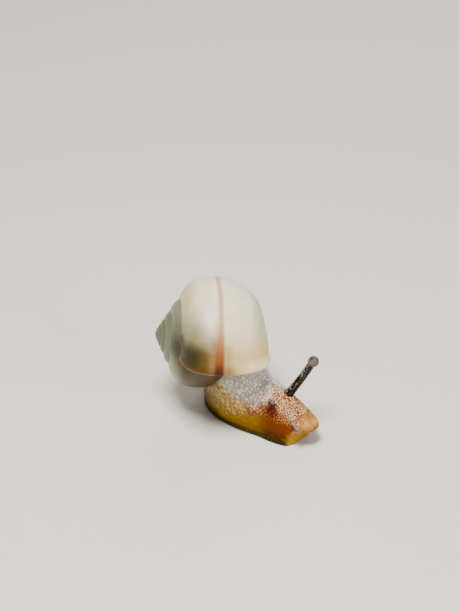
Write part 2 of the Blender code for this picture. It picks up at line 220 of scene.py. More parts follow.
def mixed(first, second, share):
    """Colours from the first to the second; colours may be hex words or arrays."""
    first = to_linear(first) if isinstance(first, str) else first
    second = to_linear(second) if isinstance(second, str) else second
    share = np.clip(share, 0.0, 1.0)[..., None]
    return first * (1 - share) + second * share


def layered(tone, *layers):
    """The tone with each colour laid over it in turn, by its share."""
    for colour, share in layers:
        tone = mixed(tone, colour, share)
    return tone


def full_turn(count):
    """Even angles round a ring."""
    return np.arange(count) * 2 * math.pi / count


def smooth_table(s, table):
    """Each column of the table at every s, on a smooth curve through its rows."""
    table = np.array(table, float)
    at = table[:, 0]
    slopes = np.gradient(table[:, 1:], at, axis=0)
    s = np.clip(s, at[0], at[-1])
    i = np.clip(np.searchsorted(at, s) - 1, 0, len(at) - 2)
    span = (at[i + 1] - at[i])[:, None]
    t = (s - at[i])[:, None] / span
    a, b = table[i, 1:], table[i + 1, 1:]
    shape = a * (1 + 2 * t) * (1 - t) ** 2 + b * t * t * (3 - 2 * t)
    return shape + slopes[i] * span * t * (1 - t) ** 2 + slopes[i + 1] * span * t * t * (t - 1)


def grid_normals(points):
    """Normals of a grid of points whose columns go round."""
    along = np.gradient(points, axis=0)
    round_it = np.roll(points, -1, axis=1) - np.roll(points, 1, axis=1)
    return unit(np.cross(round_it, along))


# ---------------------------------------------------------------- the body's line


LINE_STEP = 0.05
LINE_S = np.arange(-1.0, BODY_LENGTH + 1.0, LINE_STEP)


def heading(s):
    """The line's direction at s, looking back from the lips."""
    turned = smooth_step((s - TURN_START) / TURN_LENGTH)
    bent = smooth_step((s - TAIL_BEND_START) / (BODY_LENGTH - TAIL_BEND_START))
    return HEAD_HEADING + (TRUNK_HEADING - HEAD_HEADING) * turned + TAIL_BEND * bent


def line_coordinate(of_heading, start):
    steps = np.concatenate(([0.0], np.cumsum(of_heading(heading(LINE_S + LINE_STEP / 2)))[:-1]))
    steps *= LINE_STEP
    return start + steps - np.interp(0.0, LINE_S, steps)


LINE_X = line_coordinate(np.cos, LIPS_AT[0])
LINE_Y = line_coordinate(np.sin, LIPS_AT[1])


def on_body(s, left, up):
    """Points at s along the body, so far to the snail's left and up."""
    s, left, up = np.broadcast_arrays(
        np.asarray(s, float), np.asarray(left, float), np.asarray(up, float)
    )
    angle = heading(s)
    x = np.interp(s, LINE_S, LINE_X) + left * np.sin(angle)
    y = np.interp(s, LINE_S, LINE_Y) - left * np.cos(angle)
    return np.stack((x, y, up), axis=-1)


def body_direction(s, forward, left, up):
    angle = float(heading(np.float64(s)))
    ahead = np.array((-math.cos(angle), -math.sin(angle), 0.0))
    side = np.array((math.sin(angle), -math.cos(angle), 0.0))
    return ahead * forward + side * left + np.array((0.0, 0.0, up))


KNOB_AT = on_body(*STALK_ROOT) + body_direction(STALK_ROOT[0], *STALK_REACH)
knob_low, knob_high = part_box("eye_knob_left")
SHIFT = np.array((knob_low + knob_high) / 2) / MM - KNOB_AT
SHIFT[2] = 0.0


# ---------------------------------------------------------------- meshes


def make_piece(name, points, quads, triangles, material, colours=None, ways=None, finish=None):
    """A mesh object in the row frame. Quads and triangles are arrays of point numbers; colours go
    and finish go to point attributes; ways hold a pair for every corner, quads first."""
    mesh = bpy.data.meshes.new(name)
    corners = np.concatenate((quads.ravel(), triangles.ravel())).astype(np.int32)
    sizes = np.concatenate((np.full(len(quads), 4), np.full(len(triangles), 3))).astype(np.int32)
    starts = np.concatenate(([0], np.cumsum(sizes)[:-1])).astype(np.int32)
    mesh.vertices.add(len(points))
    mesh.vertices.foreach_set("co", ((points + SHIFT) * MM).astype(np.float32).ravel())
    mesh.loops.add(len(corners))
    mesh.loops.foreach_set("vertex_index", corners)
    mesh.polygons.add(len(sizes))
    mesh.polygons.foreach_set("loop_start", starts)
    mesh.update(calc_edges=True)
    mesh.validate()
    mesh.shade_smooth()
    for layer_name, values in (("colour", colours), ("finish", finish)):
        if values is not None:
            layer = mesh.color_attributes.new(layer_name, "FLOAT_COLOR", "POINT")
            four = np.ones((len(points), 4), np.float32)
            four[:, :3] = values
            layer.data.foreach_set("color", four.ravel())
    if ways is not None:
        mesh.uv_layers.new(name="ways").data.foreach_set("uv", ways.astype(np.float32).ravel())
    made = bpy.data.objects.new(name, mesh)
    mesh.materials.append(material)
    bpy.context.scene.collection.objects.link(made)
    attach(made, "root")
    return made


def facing_out(points, quads, triangles):
    """The same closed surface with its faces turned outwards."""
    centre = points.mean(0)
    p = points - centre
    volume = 0.0
    for corners in (quads[:, [0, 1, 2]], quads[:, [0, 2, 3]], triangles):
        a, b, c = (p[corners[:, k]] for k in range(3))
        volume += float((a * np.cross(b, c)).sum())
    if volume < 0:
        return quads[:, ::-1], triangles[:, ::-1]
    return quads, triangles


def closed_tube(rings, first, last):
    """A tube through rings of points, (rings, round, 3), closed with one point at each end."""
    rows, around = rings.shape[:2]
    points = np.concatenate((rings.reshape(-1, 3), [first, last]))
    r = np.arange(rows - 1)[:, None] * around
    c = np.arange(around)[None, :]
    d = (c + 1) % around
    quads = np.stack((r + c, r + d, r + around + d, r + around + c), axis=-1).reshape(-1, 4)
    c, d = c[0], d[0]
    low = np.stack((np.full(around, rows * around), d, c), axis=-1)
    base = (rows - 1) * around
    high = np.stack((np.full(around, rows * around + 1), base + c, base + d), axis=-1)
    return points, *facing_out(points, quads, np.concatenate((low, high)))


def ring_part(rings, first, last, tone, finish):
    """A closed tube with its tones and finish; each end takes the mean of its last ring."""
    both = []
    for values in (tone, finish):
        ends = np.stack((values[0].mean(0), values[-1].mean(0)))
        both.append(np.concatenate((values.reshape(-1, 3), ends)))
    return (*closed_tube(rings, first, last), *both)


def round_rings(path, radii, turns, side_hint):
    """Rings round a path: each ring's point is the path plus its radius across the path."""
    ahead = unit(np.gradient(path, axis=0))
    side = unit(np.cross(ahead, side_hint))
    other = np.cross(side, ahead)
    across = np.cos(turns)[None, :, None] * side[:, None] + np.sin(turns)[None, :, None] * other[:, None]
    return path[:, None] + across * radii[..., None], across


# ---------------------------------------------------------------- granules


def granule_centres(size_at, first, last, reach, stagger=0.34):
    """Centres in staggered rows: rows along the surface, and places across each row."""
    rows, at = [], first
    while at < last:
        size = float(size_at(np.float64(at)))
        across = np.arange(-math.ceil(reach / size), math.ceil(reach / size) + 1)
        places = (across + 0.5 * (len(rows) % 2) + rng.uniform(-stagger, stagger, len(across))) * size
        along = at + rng.uniform(-stagger, stagger, len(across)) * size
        rows.append(np.stack((along, places), axis=-1))
        at += size * 0.9
    centres = np.concatenate(rows)
    return centres, rng.uniform(0, 1, len(centres))


def granules(s, v, centres, chances, size_at, stretch):
    """For each row of places (one s, many v): how far into its own granule every place is, from 0
    in the furrow between two to 1, the distance from its centre, and its granule's chance number."""
    depth, spread, chance = np.zeros_like(v), np.zeros_like(v), np.zeros_like(v)
    for row in range(len(s)):
        size = float(size_at(np.float64(s[row])))
        near = np.abs(centres[:, 0] - s[row]) < size * 2.2
        if near.sum() < 3:
            continue
        along = (centres[near, 0] - s[row]) / (size * stretch)
        across = (centres[near, 1][None, :] - v[row][:, None]) / size
        distance = np.sqrt(along[None, :] ** 2 + across**2)
        order = np.argpartition(distance, 1, axis=1)[:, :2]
        two = np.take_along_axis(distance, order, axis=1)
        swap = two[:, 0] > two[:, 1]
        nearest = np.where(swap, order[:, 1], order[:, 0])
        two.sort(axis=1)
        depth[row] = two[:, 1] - two[:, 0]
        spread[row] = two[:, 0]
        chance[row] = chances[near][nearest]
    return depth, spread, chance


# ---------------------------------------------------------------- the shell


def shell_frame():
    base = unit(np.array((1.0, -APEX_BACK, -APEX_UP)))
    front = np.array((0.0, -1.0, 0.0))
    front = unit(front - front.dot(base) * base)
    top = np.cross(base, front)
    return (top if top[2] > 0 else -top), front, base


SHELL_TOP, SHELL_FRONT, SHELL_BASE = shell_frame()
SHELL_POINT = SHELL_MIDDLE - SHELL_BASE * SECTION_DOWN


def in_shell(turn, out, down):
    """Points at a turn from the top to the front, so far out from and down the shell's axis."""
    turn, out, down = (np.asarray(x, float)[..., None] for x in (turn, out, down))
    return SHELL_POINT + (SHELL_TOP * np.cos(turn) + SHELL_FRONT * np.sin(turn)) * out + SHELL_BASE * down


def rounded(share, flatness):
    return np.sign(share) * np.abs(share) ** (2 / flatness)


def section_at(angle, scale, grow):
    """How far out and down the axis the whorl's section is at an angle above its widest place."""
    above = angle > 0
    high = np.where(above, HALF_ABOVE, HALF_BELOW)
    flatness = np.where(above, FLATNESS_ABOVE, 2.0)
    out = SECTION_OUT * scale + (HALF_BREADTH * scale + grow) * rounded(np.cos(angle), flatness)
    down = SECTION_DOWN * scale - (high * scale + grow) * rounded(np.sin(angle), flatness)
    return out, down


def suture_angles():
    """Where a whorl leaves the one before: the angle on the older section and on the newer."""
    angles = np.linspace(0.0, math.pi / 2, 20001)
    out, down = section_at(angles, 1 / GROWTH, 0.0)
    across = np.abs(out - SECTION_OUT) / HALF_BREADTH
    above = np.clip(SECTION_DOWN - down, 0, None) / HALF_ABOVE
    inside = across**FLATNESS_ABOVE + above**FLATNESS_ABOVE < 1
    older = int(np.argmin(inside))
    half = FLATNESS_ABOVE / 2
    newer = math.atan2(above[older] ** half, math.copysign(across[older] ** half, out[older] - SECTION_OUT))
    return float(angles[older]), newer


def growth_relief(along, arc):
    """Height of the growth lines, in mm: fine slanting ridges and a few coarser rests in growth."""
    slow = np.sin(along * 2.1 + 0.7 * np.sin(along * 0.63)) * np.sin(along * 0.37 + 1.0)
    fine = np.sin(along * 17.0 + 1.3 * np.sin(arc * 0.9) + 2.0 * np.sin(along * 1.7))
    return 0.010 * slow + 0.004 * fine


def shell_colours(left, along, angle, place):
    """The shell's tones, and how much of the band shows, by the whorls left to the lip, the mm back
    from it and the angle round the section, which is positive towards the spire."""
    spire_side = smooth_step((angle - 0.55) / 0.5)
    rim_side = smooth_step((-angle - 0.62) / 0.4)
    # Olive towards the spire side: partly the shell's own yellowish tint by the suture and partly painted
    # shade on the side turned from the light.
    tone = mixed("#e2dac2", "#c3bd84", 0.9 * spire_side)
    # Towards the lip: warm below the band, amber close beside it, pale at the lower edge.
    warm = smooth_step((6.0 - along) / 4.6) * smooth_step((-angle - 0.02) / 0.12)
    amber = bump(angle + 0.15, 0.10) * smooth_step((3.8 - along) / 1.0)
    brown = smooth_step((1.3 - along) / 1.1) * smooth_step((angle + 0.46) / 0.28)
    pale_edge = smooth_step((1.8 - along) / 1.0) * smooth_step((-angle - 0.45) / 0.25)
    tone = layered(
        tone,
        ("#b0b47e", 0.8 * rim_side),
        ("#dab66c", 0.85 * warm),
        ("#a8843f", 0.6 * amber),
        ("#86622a", 0.85 * brown),
        ("#f2e3aa", 0.8 * pale_edge),
    )
    # Above the band it grows olive and then dark, partly the body seen through the thin shell and partly
    # painted shade; the dark begins further back on the spire side.
    begin = 4.6 + 5.0 * smooth_step(angle / 0.75)
    end = 1.2 + 1.8 * smooth_step((angle - 1.0) / 0.4)
    shade_and_body_share = smooth_step((begin - along + 0.25 * ripple(place, 2.2, 5)) / (begin - end))
    shade_and_body_share = shade_and_body_share * smooth_step((angle + 0.05) / 0.25)
    dark = mixed("#5a4412", "#2a2602", smooth_step((angle - 0.30) / 0.45))
    beside = bump(angle - 0.10, 0.13)
    fleck = bump(np.hypot((along - 3.1) / 0.8, (angle - 0.13) / 0.12), 1.0)
    at_edge = smooth_step((angle + 0.05) / 0.12) * smooth_step((0.9 - along) / 0.9)
    # The older whorls and the spire, darker and greyer partly in their own tone and partly as painted
    # shade; painted shade along the suture; and painted shade where the last whorl runs under the lip, with
    # the body's amber seen through the shell there.
    suture_shade = bump(left - 1.03, 0.09) * smooth_step((angle - 0.4) / 0.3)
    under = smooth_step((left - 0.70) / 0.16) * smooth_step((1.06 - left) / 0.06)
    under = under * smooth_step((1.25 - angle) / 0.9)
    tone = layered(
        tone,
        ("#8a8460", 1.4 * shade_and_body_share),
        (dark, smooth_step((shade_and_body_share - 0.72) / 0.28)),
        ("#d0a070", 0.6 * beside * smooth_step((6.8 - along) / 1.2)),
        ("#805826", 0.9 * beside * smooth_step((2.9 - along) / 1.0)),
        ("#6a5034", 0.75 * fleck),
        ("#5a3404", 0.8 * at_edge),
        ("#74775e", smooth_step((left - 0.80) / 0.35)),
        ("#26260f", 0.92 * suture_shade),
        ("#5c6148", smooth_step((left - 1.7) / 0.8)),
        ("#3f2c00", 0.96 * under),
    )
    mottled = 1 + 0.05 * ripple(place, 2.6, 3) + 0.03 * ripple(place, 0.9, 4)
    return tone * mottled[..., None], 1 - 0.95 * under


def shell_surface():
    """Points, quads, triangles, tones, each corner's way along the whorl and round the section, the
    finish (how much of the band shows), and the mouth's outline."""
    older, newer = suture_angles()
    rows = round(WHORLS * ROWS_PER_WHORL)
    last = rows - ROWS_PER_WHORL
    low = SPIRE_STEPS + BASE_STEPS
    spread = np.concatenate(
        (
            np.linspace(newer, older, SPIRE_STEPS + 1),
            np.linspace(older, UMBILICUS_ANGLE, BASE_STEPS + 1)[1:],
        )
    )
    whorls_left = (rows - np.arange(rows + 1)) / ROWS_PER_WHORL
    scale = GROWTH**-whorls_left
    turn = LIP_ANGLE - 2 * math.pi * whorls_left
    lag = LIP_SLANT * smooth_step(1 - whorls_left * 3)
    flare = LIP_FLARE * smooth_step(1 - whorls_left * 60) * 0.9
    lower = np.clip((np.arange(low + 1) - SPIRE_STEPS) / BASE_STEPS, 0, 1)
    along = (SECTION_OUT + HALF_BREADTH) * 2 * math.pi / math.log(GROWTH) * (1 - scale)
    grow = -SHELL_INSET * scale[:, None] + flare[:, None]
    out, down = section_at(spread[None, :], scale[:, None], grow)
    # Way round the section from its widest place, in mm.
    plain_out, plain_down = section_at(spread, 1.0, 0.0)
    steps = np.hypot(np.diff(plain_out), np.diff(plain_down))
    arc = np.concatenate(([0.0], np.cumsum(steps)))
    arc = (np.interp(0.0, -spread, arc) - arc)[None, :] * scale[:, None]
    # Growth lines, and the soft rim of each whorl against the suture.
    outwards_out = rounded(np.cos(spread), 2.0)[None, :]
    outwards_down = -rounded(np.sin(spread), 2.0)[None, :]
    step = np.arange(low + 1)
    fade = smooth_step(step / 3.0)[None, :] * smooth_step((low - step) / 4)
    at_suture = (step == SPIRE_STEPS)[None, :] & (whorls_left > 1)[:, None]
    fade = np.where(at_suture, 0.0, fade)
    relief = (growth_relief(along[:, None], arc) - 0.012) * np.minimum(1, scale[:, None] * 1.3) * fade
    out = out + relief * outwards_out
    down = down + relief * outwards_down
    turns = turn[:, None] - lag[:, None] * lower[None, :]
    outer = in_shell(turns, out, down)

    # The wall turns over the lip, rounded, and comes back as the inner sheet.
    thick = LIP_THICKNESS * smooth_step(np.arange(low + 1) / 9.0)
    inner_rows = np.arange(rows, rows - POCKET_ROWS - 1, -1)
    inward = unit(np.stack((-outwards_out[0], -outwards_down[0]), axis=-1))

    def inner_at(row_numbers, depth):
        o = out[row_numbers] + inward[:, 0] * depth
        d = down[row_numbers] + inward[:, 1] * depth
        return in_shell(turns[row_numbers], o, d)

    tangent = unit(np.gradient(outer[-4:], axis=0)[-1])
    lip_outer, lip_inner = outer[rows], inner_at(np.array([rows]), thick)[0]
    middle = (lip_outer + lip_inner) / 2
    phi = np.linspace(0, math.pi, RIM_STEPS + 1)[1:, None, None]
    rim = middle + (lip_outer - middle) * np.cos(phi) + tangent * (thick / 2)[:, None] * np.sin(phi)
    sheet = inner_at(inner_rows[1:], thick)

    points, number = [], {}
    count = 0

    def add(key, block):
        nonlocal count
        number[key] = np.arange(count, count + block.shape[0] * block.shape[1]).reshape(block.shape[:2])
        points.append(block.reshape(-1, 3))
        count += block.shape[0] * block.shape[1]

    add("spire", outer[:, : SPIRE_STEPS + 1])
    base_first = last - POCKET_ROWS
    add("base", outer[base_first:, SPIRE_STEPS + 1 :])
    add("rim", rim)
    add("sheet", sheet)
    apex = SHELL_POINT + SHELL_BASE * (APEX_HEIGHT * GROWTH**-WHORLS * 7 + 0.01)
    navel = SHELL_POINT + SHELL_BASE * (UMBILICUS_DEPTH - 0.02)
    points.append(np.array([apex, navel]))
    apex_number, navel_number = count, count + 1
    points = np.concatenate(points)

    # A whorl's first point is the suture of the whorl before.
    whole = np.full((rows + 1, low + 1), -1)
    whole[:, : SPIRE_STEPS + 1] = number["spire"]
    whole[ROWS_PER_WHORL:, 0] = whole[:-ROWS_PER_WHORL, SPIRE_STEPS]
    whole[base_first:, SPIRE_STEPS + 1 :] = number["base"]
    ways = np.stack(np.broadcast_arrays(along[:, None], arc), axis=-1)

    def quads_of(numbers, way):
        q = np.stack((numbers[:-1, :-1], numbers[1:, :-1], numbers[1:, 1:], numbers[:-1, 1:]), axis=-1)
        w = np.stack((way[:-1, :-1], way[1:, :-1], way[1:, 1:], way[:-1, 1:]), axis=-2)
        return q.reshape(-1, 4), w.reshape(-1, 4, 2)

    inside = np.concatenate((whole[rows][None], number["rim"], number["sheet"]))
    inside[:, 0] = np.concatenate((np.full(RIM_STEPS + 1, whole[rows, 0]), whole[inner_rows[1:], 0]))
    inside_way = np.concatenate(
        (np.repeat(ways[rows][None], RIM_STEPS + 1, axis=0), ways[inner_rows[1:]])
    )
    blocks = [
        quads_of(whole[:, : SPIRE_STEPS + 1], ways[:, : SPIRE_STEPS + 1]),
        quads_of(whole[base_first:, SPIRE_STEPS:], ways[base_first:, SPIRE_STEPS:]),
        quads_of(inside, inside_way),
    ]
    # The columella's side of the pocket, then its cap.
    wall = whole[inner_rows - ROWS_PER_WHORL]
    edge = np.concatenate((number["rim"][-1:, low], number["sheet"][:, low]))
    side = np.stack((edge, wall[:, low]), axis=1)
    side_way = np.repeat(ways[inner_rows, low][:, None], 2, axis=1)
    blocks.append(quads_of(side, side_way))
    cap = np.stack((inside[-1, SPIRE_STEPS:], wall[-1, SPIRE_STEPS:]))
    blocks.append(quads_of(cap, np.repeat(ways[inner_rows[-1], SPIRE_STEPS:][None], 2, axis=0)))
    quads = np.concatenate([b[0] for b in blocks])
    uv = np.concatenate([b[1] for b in blocks])
    # Quads that share a corner become triangles.
    twin = (quads == np.roll(quads, -1, axis=1)).any(1)
    narrow, narrow_uv = quads[twin], uv[twin]
    keep = ~(narrow == np.roll(narrow, -1, axis=1))
    single = keep.sum(1) == 3
    triangles = narrow[single][keep[single]].reshape(-1, 3)
    triangle_uv = narrow_uv[single][keep[single]].reshape(-1, 3, 2)
    quads, uv = quads[~twin], uv[~twin]

    def fan(centre, ring, way):
        t = np.stack((np.full(len(ring), centre), ring, np.roll(ring, -1)), axis=-1)
        w = np.stack((way, way, np.roll(way, -1, axis=0)), axis=1)
        return t, w

    first = np.arange(ROWS_PER_WHORL + 1)
    back = np.arange(SPIRE_STEPS - 1, 0, -1)
    ring = np.concatenate((whole[first, 0], whole[0, back]))
    way = np.concatenate((ways[first, 0], ways[0, back]))
    fans = [fan(apex_number, ring, way)]
    turned = np.arange(last, rows + 1)
    ring = np.concatenate((whole[turned, low], number["rim"][:, low]))
    way = np.concatenate((ways[turned, low], np.repeat(ways[rows, low][None], RIM_STEPS, axis=0)))
    fans.append(fan(navel_number, ring, way))
    cap_ring = inside[-1, : SPIRE_STEPS + 1]
    t = np.stack((np.full(SPIRE_STEPS - 1, wall[-1, SPIRE_STEPS]), cap_ring[1:-1], cap_ring[2:]), axis=-1)
    w = np.repeat(ways[inner_rows[-1], SPIRE_STEPS][None, None], SPIRE_STEPS - 1, axis=0).repeat(3, axis=1)
    fans.append((t, w))
    triangles = np.concatenate([triangles] + [f[0] for f in fans])
    triangle_uv = np.concatenate([triangle_uv] + [f[1] for f in fans])

    left_grid = np.repeat(whorls_left[:, None], low + 1, axis=1)
    angle_grid = np.repeat(spread[None, :], rows + 1, axis=0)
    along_grid = along[:, None] + np.zeros_like(arc)
    tones, band_share = shell_colours(left_grid, along_grid, angle_grid, outer)
    painted = np.zeros_like(points)
    painted[number["spire"]] = tones[:, : SPIRE_STEPS + 1]
    painted[number["base"]] = tones[base_first:, SPIRE_STEPS + 1 :]
    lip = mixed(tones[rows], "#c9b184", np.full(low + 1, 0.3))
    painted[number["rim"]] = lip[None]
    painted[number["sheet"]] = mixed(lip, "#d8c7a8", np.full(low + 1, 0.5))[None]
    # The apex takes the spire's darker tone, partly painted shade.
    painted[[apex_number, navel_number]] = to_linear("#5c6148"), to_linear("#8d7a52")
    banded = np.ones(len(points))
    banded[number["spire"]] = band_share[:, : SPIRE_STEPS + 1]
    banded[number["base"]] = band_share[base_first:, SPIRE_STEPS + 1 :]
    turned_quads, turned_triangles = facing_out(points, quads, triangles)
    if turned_quads is not quads:
        uv, triangle_uv = uv[:, ::-1], triangle_uv[:, ::-1]
    corner_ways = np.concatenate((uv.reshape(-1, 2), triangle_uv.reshape(-1, 2)))
    wall_ring = outer[inner_rows[3] - ROWS_PER_WHORL, SPIRE_STEPS:]
    mouth = np.concatenate((sheet[2], wall_ring[::-1]))
    finish = np.stack((banded, banded, banded), axis=-1)
    return points, turned_quads, turned_triangles, painted, corner_ways, finish, mouth


# ---------------------------------------------------------------- the body


SECTION_COUNTS = (4, 4, 5, 5, 6, 8, 8) + (11,) * 6  # points between neighbouring controls, one side


def section_weights():
    """How much each control of the section counts in each of its points, for one closed round."""
    counts = SECTION_COUNTS + SECTION_COUNTS[::-1]
    controls = len(counts)
    rows = []
    for k, count in enumerate(counts):
        u = np.arange(count) / count
        block = np.zeros((count, controls))
        block[:, (k - 1) % controls] = (-(u**3) + 2 * u**2 - u) / 2
        block[:, k] = (3 * u**3 - 5 * u**2 + 2) / 2
        block[:, (k + 1) % controls] = (-3 * u**3 + 4 * u**2 + u) / 2
        block[:, (k + 2) % controls] = (u**3 - u**2) / 2
        rows.append(block)
    return np.concatenate(rows)


def body_rows():
    """Places along the body: close together on the head and neck, wider apart behind."""
    front = 0.04 + 0.5 * (1 - np.cos(np.linspace(0.12, math.pi / 2, 14)))
    head = np.arange(0.60, 9.6, 0.0555)
    rear = np.linspace(9.62, 26.3, 138)
    end = 26.3 + 0.66 * np.sin(np.linspace(0.12, math.pi / 2 - 0.08, 9))
    return np.concatenate((front, head, rear, end))


def body_sections(s):
    """Every section's controls, left offset and height, from the middle of the sole, and its top."""
    half, top, widest, lean = smooth_table(s, BODY_SECTIONS).T
    (foot,) = smooth_table(s, FOOT_HALF_WIDTHS).T
    low = 0.92 * (1 - smooth_step((s - 0.85) / 0.6))
    k = np.minimum(1.0, (widest - low * 0.6) / 2.0)
    waist = (foot + half) / 2 - 0.14 * k
    between = (waist + 2 * half) / 3 + 0.04 * k
    side = [
        (foot * 0.0, low),
        (foot * 0.50, low),
        (foot * 0.84, low),
        (foot - 0.02, low + 0.18 * k),
        (foot - 0.05, low + 0.50 * k),
        (waist, low + 0.92 * k),
        (between, low + 0.92 * k + (widest - low - 0.92 * k) * 0.5),
        (half, widest),
    ]
    for angle in np.radians((15, 30, 45, 60, 75, 90)):
        side.append(
            (
                half * max(0.0, math.cos(angle)) ** (2 / SHOULDER),
                widest + (top - widest) * math.sin(angle) ** (2 / SHOULDER),
            )
        )
    lower_lean = lean * smooth_step((s - 8.5) / 3.5)
    controls = []
    for sign, order in ((1, side[:-1]), (-1, side[:0:-1])):
        for left, height in order:
            follows = smooth_step((height - low - 0.4) / 1.2)
            controls.append((sign * left + lower_lean + (lean - lower_lean) * follows, height))
    return np.array(controls).transpose(2, 0, 1), top


def chin_back(s, height):
    """How far back the snout's underside lies at this height, fading towards the cheeks."""
    lowness = smooth_step((CHIN_TOP - height) / CHIN_DROP)
    return CHIN_BACK * lowness * (1 - smooth_step(s / CHIN_FADE))


def body_surface():
    """The body from the lips to the tail's tip: its surface, tones and finish."""
    s = body_rows()
    controls, top = body_sections(s)
    section = np.einsum("pk,rkc->rpc", section_weights(), controls)
    left, up = section[..., 0], section[..., 1]
    # The snout and the tail close roundly.
    nose = (1 - np.clip((0.95 - s) / 0.92, 0, 1) ** 2.2) ** (1 / 2.2)
    tip = (1 - np.clip((s - 26.2) / 0.77, 0, 1) ** 2.2) ** (1 / 2.2)
    left = left * (nose * tip)[:, None]
    up = np.where(s[:, None] < 3, SNOUT_HEIGHT + (up - SNOUT_HEIGHT) * nose[:, None], up)
    up = np.where(s[:, None] > 20, 0.14 + (up - 0.14) * tip[:, None], up)
    up = np.maximum(up, 0.0)
    s_grid = np.repeat(s[:, None], left.shape[1], axis=1)
    plain = on_body(s_grid + chin_back(s_grid, up), left, up)

    # Way round the section from the middle of the back, in mm.
    half_way = sum(SECTION_COUNTS)
    steps = np.linalg.norm(np.roll(plain, -1, axis=1) - plain, axis=2)
    walked = np.cumsum(steps, axis=1) - steps
    round_way = walked - walked[:, half_way][:, None]
    normals = grid_normals(plain)
    if (normals[len(s) // 3, half_way] @ np.array((0, 0, 1.0))) < 0:
        normals = -normals
    height = (up - 0.9) / np.maximum(top - 0.9, 0.3)[:, None]

    # Granules: fine on the head, coarse on the neck, flat behind.
    def size_at(at):
        return 0.28 + 0.14 * smooth_step((at - 3.6) / 4.0) + 0.16 * smooth_step((at - 10) / 6)

    centres, chances = granule_centres(size_at, 0.2, 26.9, 9.0, 0.40)
    depth, spread, chance = granules(s, round_way, centres, chances, size_at, 1.15)
    pillow = smooth_step(depth / 0.42) * (1 - 0.35 * np.clip(spread / 0.6, 0, 1) ** 2)
    pillow = pillow * (0.62 + 0.38 * chance)
    headness = 1 - smooth_step((s_grid - 4.9 + 0.35 * ripple(plain, 1.3, 28)) / 3.0)
    cheekness = 1 - smooth_step((s_grid - 4.4) / 2.4)
    rearness = smooth_step((s_grid - 13) / 5)
    muzzle = 1 - smooth_step((s_grid - 1.72 - 0.10 * ripple(plain, 0.9, 23)) / 0.26)
    (floor_height,) = smooth_table(s, GRANULE_FLOOR).T
    over_floor = up - floor_height[:, None] + 0.15 * ripple(plain, 1.1, 26)
    strong = smooth_step(over_floor / 0.7 + 0.5)
    size = size_at(s_grid)
    deep = size * 0.26 * (0.10 + 0.90 * strong) * (1 - 0.45 * rearness) * (1 - 0.9 * muzzle)
    deep *= 0.62 + 0.38 * headness
    deep *= smooth_step((up - 0.75 * (1 - rearness)) / 0.5) * (up > 0.02)
    sink = deep * (1 - pillow)
    # Soft folds, the crimped edge of the foot, and the sole's slight waves.
    folds = 0.035 * ripple(plain, 2.6, 11) * smooth_step((up - 0.5) / 1.0)
    edge = bump(up - 0.26, 0.30) * (np.abs(left) > 0.5) * smooth_step((s_grid - 0.9) / 0.5)
    crimp_way = s_grid + 0.12 * np.sin(s_grid * 2.3)
    crimp = edge * (0.030 + 0.030 * np.sin(2 * math.pi * crimp_way / 0.34)) * (1 - 0.6 * rearness)
    sink = sink + np.clip(0.03 - folds, 0, 0.08) * 0.6 + crimp
    # Muzzle: two lips with a cleft between them, and soft ridges that run forward over both.
    front = smooth_step((1.30 - s_grid) / 0.7)
    cleft = bump(left, 0.11) * front * smooth_step((2.75 - up) / 0.5)
    lobes = bump(np.abs(left) - LIP_LEFT, 0.42) * bump(up - LIP_HEIGHT, 0.62) * front
    mouth = bump(np.hypot(left / 1.5, up - 1.38), 0.20) * front
    ridge_way = round_way + 0.07 * np.sin(s_grid * 4.3 + 1.0) + 0.05 * ripple(plain, 0.8, 24)
    ridge = np.abs(np.sin(math.pi * ridge_way / 0.27)) ** 0.7
    ridge = 1 - (1 - ridge) * smooth_step((ripple(plain, 0.9, 25) + 0.9) / 0.8)
    step = muzzle * (1 - muzzle) * 4 * smooth_step((up - 1.5) / 0.8)
    sink = sink + 0.15 * cleft + 0.12 * mouth + muzzle * (0.06 * (1 - ridge) + 0.01) - 0.06 * lobes
    sink = sink + 0.045 * step
    # The fold that holds the drawn-in eye stalk, and the hollow below it.
    pit_distance = np.linalg.norm(plain - on_body(*DRAWN_IN_PIT), axis=-1)
    from_knob = plain - on_body(*DRAWN_IN_AT)
    knob_distance = np.linalg.norm(from_knob, axis=-1)
    below_knob = unit(from_knob) @ unit(np.array((-0.45, -0.50, -0.75)))
    sink = sink * (1 - 0.8 * bump(pit_distance, 0.42)) * (1 - 0.7 * bump(knob_distance, 0.42))
    fold = bump(knob_distance - 0.37, 0.11)
    sink = sink + 0.10 * bump(pit_distance, 0.40) + 0.10 * fold - 0.05 * bump(knob_distance - 0.58, 0.13)
    # The skin rises to the root of the raised stalk.
    stalk_distance = np.linalg.norm(plain - on_body(*STALK_ROOT), axis=-1)
    sink = sink * (1 - 0.7 * bump(stalk_distance - 0.75, 0.18)) + 0.03 * bump(stalk_distance, 0.7)
    points = plain - normals * sink[..., None]
    points[..., 2] = np.maximum(points[..., 2], 0.0)
    sole = (up < 0.015) & (s_grid > 1.3)
    points[..., 2] = np.where(sole, 0.0, points[..., 2])
